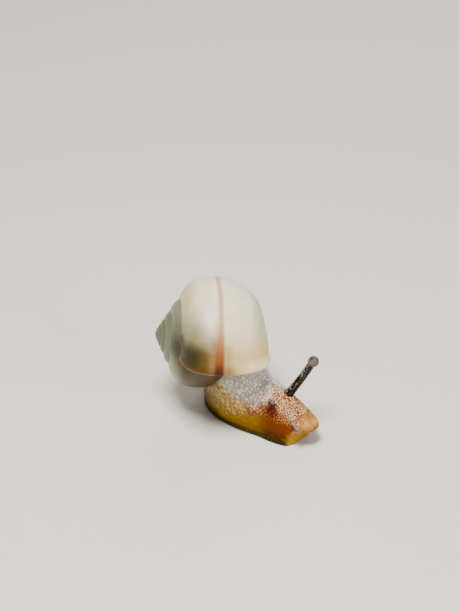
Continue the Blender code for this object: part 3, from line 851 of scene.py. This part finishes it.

    # Colours: dark lines deep in the furrows, partly the skin's own colour and partly painted shade, the
    # skin beside them, and the paler granules. On the neck they go from amber over tan to a pale grey back,
    # whose paleness is partly painted light; the head is orange-brown.
    mid = smooth_step((height - 0.22 + 0.05 * ripple(plain, 1.2, 22)) / 0.38)
    back = smooth_step((height - 0.54 + 0.08 * ripple(plain, 1.2, 22)) / 0.36)
    crown = smooth_step((height - 0.82 + 0.04 * ripple(plain, 0.9, 27)) / 0.14)
    paler = smooth_step((s_grid - 6.6) / 1.8)
    line_tone = mixed(mixed("#6a4c00", mixed("#6a4a14", "#94742c", paler), mid), "#c2c0b2", back)
    furrow_tone = mixed(mixed("#876204", mixed("#8a6424", "#c8a052", paler), mid), "#dddbce", back)
    granule_tone = mixed(mixed("#a9811c", mixed("#ab8448", "#e6c276", paler), mid), "#f6f5ee", back)
    line_tone = mixed(line_tone, mixed("#461600", "#4a220a", crown), headness)
    furrow_tone = mixed(furrow_tone, mixed("#702e00", "#88542c", crown), headness)
    granule_tone = mixed(granule_tone, mixed("#b4722a", "#e4b484", crown), headness)
    # Each granule's tone differs at random, and it is painted lighter towards its middle as a painted
    # highlight.
    granule_tone = granule_tone * (0.66 + 0.46 * chance + 0.22 * smooth_step(1 - spread / 0.5))[..., None]
    line_tone = mixed(line_tone, mixed("#6a5220", "#5c5036", back), rearness)
    furrow_tone = mixed(furrow_tone, mixed("#7c5f22", "#6c5d40", back), rearness)
    granule_tone = mixed(granule_tone, mixed("#9c8040", "#988d70", back), rearness)
    bead = smooth_step((0.66 - 0.08 * headness - spread) / 0.26)
    cover = smooth_step((pillow - 0.34) / 0.28) * bead * (0.12 + 0.88 * strong)
    tone = mixed(line_tone, furrow_tone, smooth_step(pillow / 0.30))
    tone = mixed(tone, granule_tone, cover)
    # The smooth cheek and low flank: amber behind, deep orange in front, and darker and browner lower down,
    # which is painted shade.
    low_flank = (1 - strong) * (1 - rearness)
    amber = mixed("#8a6602", "#7a5602", smooth_step((0.28 - height) / 0.4))
    cheek = mixed("#662f00", "#763700", smooth_step((3.8 - s_grid) / 2.0))
    cheek = mixed(cheek, "#3e2a02", smooth_step((1.55 - up) / 0.9))
    tone = mixed(tone, mixed(amber, cheek, cheekness), 0.92 * low_flank)
    chin = smooth_step((2.9 - s_grid + 0.3 * ripple(plain, 0.8, 29)) / 1.5)
    tone = mixed(tone, "#b98a22", 0.9 * chin * smooth_step((1.75 - up) / 0.8))
    # The neck lies in the shell's shade where it goes under the lip.
    tone = tone * (1 - 0.5 * smooth_step((s_grid - 9.2) / 1.0))[..., None]
    # The muzzle: paler on top in front, ochre at the sides, with painted highlights on the ridges and dark
    # lines between them, partly painted shade.
    pale_top = smooth_step((1.3 - s_grid) / 0.7) * smooth_step((up - 2.3) / 0.4)
    ochre = bump(s_grid - 1.5, 0.30) * smooth_step((2.9 - up) / 0.3)
    lit = smooth_step((ridge - 0.75) / 0.25) * smooth_step(ripple(plain, 0.6, 30) + 0.6)
    lip_tone = layered(
        mixed("#a86c22", "#c8985c", pale_top),
        ("#b86c12", 0.8 * ochre),
        ("#d0a050", 0.5 * lit),
        ("#5c2808", 0.9 * (1 - ridge)),
    )
    lip_share = muzzle * smooth_step((up - 1.15) / 0.5)
    # The foot's edge is painted dark, as painted shade along the bottom of the body, lighter and darker in
    # step with its crimps.
    edge_share = smooth_step((0.95 - up) / 0.45) * smooth_step((s_grid - 1.6) / 0.8)
    edge_shade_tone = mixed("#3c300c", "#221a04", 0.5 + 0.5 * np.sin(2 * math.pi * crimp_way / 0.34))
    stain = np.clip(1.6 * bump(pit_distance, 0.66), 0, 1)
    tone = layered(
        tone,
        (lip_tone, 0.95 * lip_share),
        ("#4e2408", 0.7 * step),
        ("#6a2608", 0.8 * np.clip(cleft + mouth, 0, 1)),
        (edge_shade_tone, 0.85 * edge_share),
        ("#8c8058", sole.astype(float)),
        ("#430c00", 0.95 * stain),
        # Painted shadow: a near-black line in the fold on the drawn-in knob's lower side.
        ("#1d0a04", np.clip(1.3 * fold, 0, 1) * smooth_step((below_knob + 0.45) / 0.7)),
        ("#54200d", 0.7 * bump(stalk_distance - 0.55, 0.20)),
    )
    tone = tone * (1 + 0.07 * ripple(plain, 1.7, 21))[..., None]
    # The finish: how wet the skin is, how much light goes into it, and how much is granule.
    wet = (0.30 + 0.30 * (1 - pillow) - 0.1 * muzzle) * (1 - 0.9 * low_flank)
    wet = np.clip(wet * (1 - 0.85 * stain) * (1 - 0.6 * fold), 0, 1)
    glow = np.clip(0.25 + 0.2 * low_flank + 0.1 * headness, 0, 1)
    finish = np.stack((wet, glow, cover), axis=-1)
    first = on_body(0.09, 0.0, SNOUT_HEIGHT - 0.03)
    return ring_part(points, first, on_body(26.97, 0.0, 0.14), tone, finish)


# ---------------------------------------------------------------- head parts


def raised_stalk():
    """The left eye stalk: a tapering tube with a flared foot that swells into the round knob."""
    root = on_body(*STALK_ROOT)
    reach = body_direction(STALK_ROOT[0], *STALK_REACH)
    length = float(np.linalg.norm(reach))
    bow = unit(body_direction(STALK_ROOT[0], 1.0, 0.2, -0.55)) * STALK_BOW
    radius = EYE_KNOB_RADIUS - 0.015
    along = np.concatenate(
        (np.arange(-0.35, length - 0.75, 0.045), length + radius * np.sin(np.linspace(-1.35, 1.5, 34)))
    )
    along = np.sort(along)
    t = along / length
    path = root + reach * t[:, None] + bow * np.sin(math.pi * np.clip(t, 0, 1))[:, None]
    body = 0.545 - 0.135 * np.clip(t, 0, 1) ** 0.6 + 0.28 * np.exp(-np.clip(t, 0, 1) / 0.06)
    ball = np.sqrt(np.clip(radius**2 - (along - length) ** 2, 0, None))
    r = np.where(along < length, (body**7 + ball**7) ** (1 / 7), ball)
    around = 60
    turns = full_turn(around)
    radii = np.repeat(r[:, None], around, axis=1)
    rings, across = round_rings(path, radii, turns, body_direction(STALK_ROOT[0], 0.0, 1.0, 0.3))
    way = turns[None, :] * 0.46 + np.zeros_like(radii)

    def size_at(_):
        return 0.15

    centres, chances = granule_centres(size_at, -0.4, length + 0.7, 2.9)
    depth, _, chance = granules(along, way - math.pi * 0.46, centres, chances, size_at, 1.5)
    pillow = smooth_step(depth / 0.45) * (0.5 + 0.5 * chance)
    knobness = smooth_step((along - length + 0.62) / 0.35)[:, None] * np.ones_like(radii)
    rings = rings - across * (0.035 * (1 - pillow) * (1 - 0.75 * knobness))[..., None]
    # The tones follow one fixed light direction: the specks are painted lighter as painted highlights on
    # the lit side, and the stalk and knob are painted redder on the side away from the light as painted
    # shade.
    lit = across @ unit(np.array((-0.75, -0.25, 0.6)))
    dark = mixed("#120803", "#260b03", smooth_step((0.1 - lit) / 0.8))
    speck = (chance > 0.60) * smooth_step((pillow - 0.35) / 0.3)
    speck = speck * (0.35 + 0.65 * smooth_step((lit + 0.1) / 0.5))
    tone = mixed(dark, mixed("#5c4a34", "#b4ac98", smooth_step((lit - 0.35) / 0.45)), 0.85 * speck)
    tone = mixed(tone, "#7a6c68", knobness * (0.80 - 0.25 * (1 - pillow)))
    tone = mixed(tone, "#5f2812", 0.8 * knobness * smooth_step((0.2 - lit) / 0.7))
    eye_way = unit(body_direction(STALK_ROOT[0], *EYE_DIRECTION))
    eye_distance = np.linalg.norm(rings - (KNOB_AT + eye_way * radius), axis=-1)
    tone = mixed(tone, "#33382e", 0.85 * bump(eye_distance, 0.32))
    base_share = smooth_step((0.75 - along) / 0.6)[:, None] * np.ones_like(radii)
    tone = mixed(tone, mixed("#6d2c14", "#a8603a", pillow), 0.75 * base_share)
    finish = np.stack((0.45 + 0.45 * knobness, 0.05 + 0.3 * knobness, pillow), axis=-1)
    return ring_part(rings, path[0], path[-1] + unit(reach) * 0.004, tone, finish)


def drawn_in_stalk():
    """The right eye stalk's tip, drawn in to a small pale knob that sits in a fold of the skin."""
    axis = unit(body_direction(DRAWN_IN_AT[0], 0.10, -0.55, 0.85))
    centre = on_body(*DRAWN_IN_AT) + axis * 0.02
    angles = np.linspace(0.06, math.pi - 0.06, 34)
    path = centre - axis * 0.31 * np.cos(angles)[:, None]
    around = 44
    turns = full_turn(around)
    radii = (0.29 * np.sin(angles))[:, None] * (1 + 0.10 * np.cos(2 * turns + 0.6))[None, :]
    rings, across = round_rings(path, radii, turns, body_direction(DRAWN_IN_AT[0], 1.0, 0.2, 0.1))
    speck = smooth_step((ripple(rings, 0.17, 31) + 0.1) / 0.5)
    rings = rings - across * (0.022 * (1 - speck))[..., None]
    tone = mixed("#33262c", "#a198a2", speck)
    finish = np.stack((np.full_like(speck, 0.8), np.full_like(speck, 0.3), speck), axis=-1)
    return ring_part(rings, path[0], path[-1], tone, finish)


def lower_tentacle(side):
    """A short feeler with two soft swellings, bent over the first of them."""
    root, knee, tip = (on_body(*place) for place in FEELERS[side])
    first, second = 0.37, 0.85  # the swellings' places, as shares of the way
    control = (knee - root * (1 - first) ** 2 - tip * first**2) / (2 * first * (1 - first))
    t = (1 - (1 - np.linspace(0, 1, 56)) ** 1.5)[:, None]
    path = root * (1 - t) ** 2 + control * (2 * t * (1 - t)) + tip * t * t
    walked = np.concatenate(([0.0], np.cumsum(np.linalg.norm(np.diff(path, axis=0), axis=1))))
    t = t[:, 0]
    knob = bump(t - first, 0.15) + bump(t - second, 0.16)
    swell = 0.118 + 0.132 * knob + 0.12 * np.exp(-t / 0.08)
    to_end = np.clip((walked[-1] - walked) / 0.24, 0, 1)
    swell *= np.sqrt(1 - (1 - to_end) ** 2)
    around = 36
    turns = full_turn(around)
    radii = np.repeat(np.maximum(swell, 0.004)[:, None], around, axis=1)
    rings, across = round_rings(path, radii, turns, np.array((0.0, 0.0, 1.0)))
    speck = smooth_step((ripple(rings, 0.15, 43 + len(side)) + 0.25) / 0.5)
    rings = rings - across * (0.012 * (1 - speck) * np.minimum(1, swell / 0.15)[:, None])[..., None]
    knob = np.clip(knob, 0, 1)[:, None] * np.ones_like(radii)
    tone = mixed("#a38458", "#827e90", knob)
    tone = mixed(tone, "#2b2026", 0.9 * (1 - speck) * (0.3 + 0.7 * knob))
    tone = mixed(tone, "#8a4a14", 0.85 * np.exp(-t / 0.10)[:, None] * np.ones_like(radii))
    finish = np.stack((np.full_like(speck, 0.8), np.full_like(speck, 0.35), speck), axis=-1)
    return ring_part(rings, root, path[-1] + unit(tip - control) * 0.003, tone, finish)


def mantle_collar(mouth):
    """The collar: a low cushion that fills the shell's mouth from edge to edge, in soft folds."""
    through = np.cross(SHELL_BASE, SHELL_FRONT)
    through = through if through[2] < 0 else -through
    middle = in_shell(LIP_ANGLE, MANTLE_OUT, MANTLE_DOWN)
    # The mouth's outline at even steps round it.
    closed = np.concatenate((mouth, mouth[:1]))
    walked = np.concatenate(([0.0], np.cumsum(np.linalg.norm(np.diff(closed, axis=0), axis=1))))
    around = 150
    at = np.arange(around) / around * walked[-1]
    outline = np.stack([np.interp(at, walked, closed[:, k]) for k in range(3)], axis=-1)
    for _ in range(3):
        outline = (np.roll(outline, 1, 0) + 2 * outline + np.roll(outline, -1, 0)) / 4
    share = np.sin(np.linspace(0.05, math.pi / 2, 24))
    front = middle + (outline - middle)[None] * share[:, None, None]
    rise = 1.30 * np.sqrt(np.clip(1 - share**2, 0, 1)) + 0.42 * np.sin(math.pi * share**3) ** 2
    front = front + through * rise[:, None, None]
    fold = np.sin(np.arange(around) * 2 * math.pi / around * 34 + 1.5 * np.sin(share * 9)[:, None])
    front = front + through * (0.03 * fold * np.sin(math.pi * share[:, None] ** 2))[..., None]
    back_share = share[-2::-2]
    back = middle + (outline - middle)[None] * back_share[:, None, None]
    back = back - through * (0.35 * np.sqrt(np.clip(1 - back_share**2, 0, 1)))[:, None, None]
    rings = np.concatenate((front, back))
    mottled = ripple(rings, 0.8, 51) * 0.5 + 0.5
    tone = mixed("#a87b34", "#8a5f24", mottled)
    tone = mixed(tone, "#c9a665", 0.6 * (ripple(rings, 0.35, 52) > 0.55))
    finish = np.stack((np.full_like(mottled, 0.6), np.full_like(mottled, 0.6), mottled), axis=-1)
    return ring_part(rings, front[0].mean(0), back[-1].mean(0), tone, finish)


def joined(parts):
    """Several closed surfaces as the points and faces of one mesh."""
    points, quads, triangles, tones, finishes = [], [], [], [], []
    count = 0
    for p, q, t, tone, finish in parts:
        points.append(p)
        quads.append(q + count)
        triangles.append(t + count)
        tones.append(tone)
        finishes.append(finish)
        count += len(p)
    return [np.concatenate(x) for x in (points, quads, triangles, tones, finishes)]


def eye_ball():
    """The black eye: a small ball set into the knob."""
    way = unit(body_direction(STALK_ROOT[0], *EYE_DIRECTION))
    centre = KNOB_AT + way * (EYE_KNOB_RADIUS - EYE_RADIUS * 0.62)
    angles = np.linspace(0.08, math.pi - 0.08, 28)
    path = centre + way * -(EYE_RADIUS * np.cos(angles))[:, None]
    turns = full_turn(40)
    radii = np.repeat((EYE_RADIUS * np.sin(angles))[:, None], len(turns), axis=1)
    rings, _ = round_rings(path, radii, turns, np.array((1.0, 0.0, 0.0)))
    return closed_tube(rings, centre - way * EYE_RADIUS, centre + way * EYE_RADIUS)


# ---------------------------------------------------------------- materials


def add_node(tree, kind, inputs=None, **settings):
    """A node with its settings; each input is a value or another node's output."""
    node = tree.nodes.new(kind)
    for name, value in settings.items():
        setattr(node, name, value)
    for name, value in (inputs or {}).items():
        if isinstance(value, bpy.types.NodeSocket):
            tree.links.new(value, node.inputs[name])
        else:
            node.inputs[name].default_value = value
    return node


def ranged(tree, value, to, of=(0.0, 1.0), smooth=False):
    """A value carried from one range to another."""
    inputs = {"Value": value, "From Min": of[0], "From Max": of[1], "To Min": to[0], "To Max": to[1]}
    kind = "SMOOTHSTEP" if smooth else "LINEAR"
    return add_node(tree, "ShaderNodeMapRange", inputs, interpolation_type=kind).outputs[0]


def sums(tree, operation, *values):
    """One step of arithmetic."""
    return add_node(tree, "ShaderNodeMath", dict(enumerate(values)), operation=operation).outputs[0]


def noise(tree, place, scale, detail, roughness, **settings):
    inputs = {"Vector": place, "Scale": scale, "Detail": detail, "Roughness": roughness}
    return add_node(tree, "ShaderNodeTexNoise", inputs, **settings).outputs["Fac"]


def scaled(tree, colour, factor):
    inputs = {0: colour, "Scale": factor}
    return add_node(tree, "ShaderNodeVectorMath", inputs, operation="SCALE").outputs[0]


def blended(tree, share, first, second):
    """Two colours mixed. Mix nodes hold a set of sockets for each kind of value; colours are the
    third."""
    inputs = {"Factor": share, 6: first, 7: second}
    return add_node(tree, "ShaderNodeMix", inputs, data_type="RGBA").outputs[2]


def bumped(tree, height, strength, distance):
    inputs = {"Height": height, "Strength": strength, "Distance": distance}
    return add_node(tree, "ShaderNodeBump", inputs).outputs[0]


def attribute(tree, name, output):
    return add_node(tree, "ShaderNodeAttribute", attribute_name=name).outputs[output]


def new_material(name, values):
    """A Principled material with these values on its shader's own sockets."""
    material = bpy.data.materials.new(name)
    material.use_nodes = True
    tree = material.node_tree
    tree.nodes.clear()
    shader = add_node(tree, "ShaderNodeBsdfPrincipled", values)
    add_node(tree, "ShaderNodeOutputMaterial", {"Surface": shader.outputs[0]})
    return material, tree, shader


def linked(tree, shader, **sockets):
    for name, output in sockets.items():
        tree.links.new(output, shader.inputs[name.replace("_", " ")])


def rgba(hex_colour):
    return (*to_linear(hex_colour), 1.0)


def moist_snail_skin():
    """Moist snail skin: granules and furrows from the mesh, a thin film of slime over them."""
    values = {
        "Subsurface Radius": (1.0, 0.42, 0.16),
        "Subsurface Scale": 0.00022,
        "IOR": 1.38,
        "Specular IOR Level": 0.06,
        "Coat Roughness": 0.10,
    }
    material, tree, shader = new_material("moist_snail_skin", values)
    shader.subsurface_method = "RANDOM_WALK"
    finish = add_node(
        tree, "ShaderNodeSeparateColor", {"Color": attribute(tree, "finish", "Color")}
    )
    wet, glow = finish.outputs["Red"], finish.outputs["Green"]
    place = add_node(tree, "ShaderNodeTexCoord").outputs["Object"]
    # Blotches about 0.7 mm apart, and slime ripples about 0.1 mm apart.
    blotch = noise(tree, place, 1500.0, 3.0, 0.55)
    tint = ranged(tree, blotch, (0.84, 1.14), (0.3, 0.7))
    ripples = noise(tree, place, 9000.0, 4.0, 0.6)
    linked(
        tree,
        shader,
        Base_Color=scaled(tree, attribute(tree, "colour", "Color"), tint),
        Roughness=ranged(tree, wet, (0.50, 0.24)),
        Normal=bumped(tree, ripples, 0.35, 0.000018),
        Subsurface_Weight=sums(tree, "MULTIPLY", glow, 0.6),
        Coat_Weight=sums(tree, "MULTIPLY", wet, 0.75),
    )
    return material


def thin_banded_shell():
    """Thin snail shell: satin cream with growth lines, and one chestnut band at the periphery."""
    values = {
        "Roughness": 0.40,
        "Subsurface Weight": 0.25,
        "Subsurface Radius": (1.0, 0.75, 0.45),
        "Subsurface Scale": 0.0006,
        "IOR": 1.50,
        "Specular IOR Level": 0.30,
        "Coat Weight": 0.08,
        "Coat Roughness": 0.30,
    }
    material, tree, shader = new_material("thin_banded_shell", values)
    shader.subsurface_method = "RANDOM_WALK"
    ways = add_node(tree, "ShaderNodeUVMap", uv_map="ways").outputs["UV"]
    way = add_node(tree, "ShaderNodeSeparateXYZ", {"Vector": ways})
    # Growth streaks: close together along the whorl, drawn out round it.
    stretched = add_node(tree, "ShaderNodeVectorMath", {0: ways, 1: (4.2, 0.35, 1.0)}, operation="MULTIPLY")
    streaks = noise(tree, stretched.outputs[0], 1.0, 5.0, 0.62, noise_dimensions="2D")
    streak_tint = ranged(tree, streaks, (0.93, 1.05), (0.3, 0.7))
    # The band: its edges waver a little; towards the lip it widens and darkens twice, and its paler, pinker
    # tone away from the lip is partly painted light.
    waver = ranged(tree, streaks, (-0.07, 0.07))
    apart = sums(tree, "ABSOLUTE", sums(tree, "ADD", way.outputs["Y"], waver))
    near_lip = ranged(tree, way.outputs["X"], (0.0, 1.0), (6.5, 1.3), smooth=True)
    at_edge = ranged(tree, way.outputs["X"], (0.0, 1.0), (1.8, 0.1), smooth=True)
    over = sums(tree, "SUBTRACT", apart, ranged(tree, near_lip, (0.20, 0.44)))
    band = ranged(tree, over, (0.0, 1.0), (0.26, -0.16), smooth=True)
    band = sums(tree, "MULTIPLY", band, ranged(tree, near_lip, (0.88, 1.0)))
    band = sums(tree, "MULTIPLY", band, attribute(tree, "finish", "Fac"))
    band_tone = blended(tree, near_lip, rgba("#c08f66"), rgba("#8c4e14"))
    band_tone = blended(tree, at_edge, band_tone, rgba("#481200"))
    streaked = scaled(tree, attribute(tree, "colour", "Color"), streak_tint)
    linked(
        tree,
        shader,
        Base_Color=blended(tree, band, streaked, band_tone),
        Normal=bumped(tree, streaks, 0.5, 0.00004),
    )
    return material


def black_eye():
    """The eye's black pigment under clear, wet skin."""
    values = {
        "Base Color": rgba("#16130f"),
        "Roughness": 0.18,
        "IOR": 1.38,
        "Coat Weight": 1.0,
        "Coat Roughness": 0.05,
    }
    return new_material("black_eye", values)[0]


def pale_floor():
    """Matt pale paper under the snail."""
    values = {"Base Color": rgba("#dedbd4"), "Roughness": 0.9, "Specular IOR Level": 0.2}
    return new_material("pale_floor", values)[0]


# ---------------------------------------------------------------- the studio


def lay_floor():
    """A wide floor at Z = 0."""
    points = np.array(((-1, -1, 0), (1, -1, 0), (1, 1, 0), (-1, 1, 0)), float) * 3000
    mesh = bpy.data.meshes.new("floor")
    mesh.from_pydata([tuple(p) for p in points * MM], [], [(0, 1, 2, 3)])
    mesh.materials.append(pale_floor())
    floor = bpy.data.objects.new("floor", mesh)
    bpy.context.scene.collection.objects.link(floor)


def aimed(made, at, towards):
    """Puts a light or camera somewhere, looking at a point, both in millimetres in the row frame."""
    at, towards = np.array(at, float), np.array(towards, float)
    ahead = unit(towards - at)
    right = unit(np.cross(ahead, np.array((0.0, 0.0, 1.0))))
    above = np.cross(right, ahead)
    matrix = np.eye(4)
    matrix[:3, 0], matrix[:3, 1], matrix[:3, 2], matrix[:3, 3] = right, above, -ahead, at * MM
    made.matrix_world = Matrix(matrix.tolist())
    return made


def soft_light(name, at, width, watts, tint):
    lamp = bpy.data.lights.new(name, "AREA")
    lamp.shape = "DISK"
    lamp.size = width * MM
    lamp.energy = watts
    lamp.color = to_linear(tint)
    made = bpy.data.objects.new(name, lamp)
    bpy.context.scene.collection.objects.link(made)
    aimed(made, at, (0.0, -2.0, 6.0))


def light_studio():
    world = bpy.data.worlds.new("studio")
    bpy.context.scene.world = world
    world.use_nodes = True
    background = world.node_tree.nodes["Background"]
    background.inputs["Color"].default_value = rgba("#eef1f2")
    background.inputs["Strength"].default_value = 0.34
    soft_light("key", (-20, -60, 200), 80, 0.80, "#fffaf2")
    soft_light("fill", (150, -120, 90), 110, 0.14, "#f4f8ff")
    soft_light("back", (40, 170, 130), 120, 0.12, "#fffdf6")


def set_camera():
    """The viewing angle: from the snail's front right, 33 degrees above the floor."""
    towards = np.array(VIEW_MIDDLE) + SHIFT
    back = np.array((0.0, -math.cos(VIEW_ELEVATION), math.sin(VIEW_ELEVATION)))
    at = towards + VIEW_DISTANCE * back
    lens = bpy.data.cameras.new("camera")
    lens.sensor_width = SENSOR
    lens.lens = SENSOR * VIEW_DISTANCE / VIEW_HEIGHT
    lens.clip_start, lens.clip_end = 0.01, 20.0
    camera = bpy.data.objects.new("camera", lens)
    bpy.context.scene.collection.objects.link(camera)
    aimed(camera, at, towards)
    bpy.context.scene.camera = camera


# ---------------------------------------------------------------- the snail


def build_snail():
    *shell_parts, mouth = shell_surface()
    points, quads, triangles, tones, ways, finish = shell_parts
    material = thin_banded_shell()
    shell = make_piece("snail_shell", points, quads, triangles, material, tones, ways, finish)
    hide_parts("shell")

    flesh = joined(
        (
            body_surface(),
            raised_stalk(),
            drawn_in_stalk(),
            lower_tentacle("left"),
            lower_tentacle("right"),
            mantle_collar(mouth),
        )
    )
    points, quads, triangles, tones, finishes = flesh
    skin = make_piece(
        "snail_skin", points, quads, triangles, moist_snail_skin(), tones, finish=finishes
    )
    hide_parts(*(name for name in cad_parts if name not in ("shell", "eye_left")))

    eye = make_piece("snail_eye", *eye_ball(), black_eye())
    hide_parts("eye_left")


build_snail()
lay_floor()
light_studio()
set_camera()
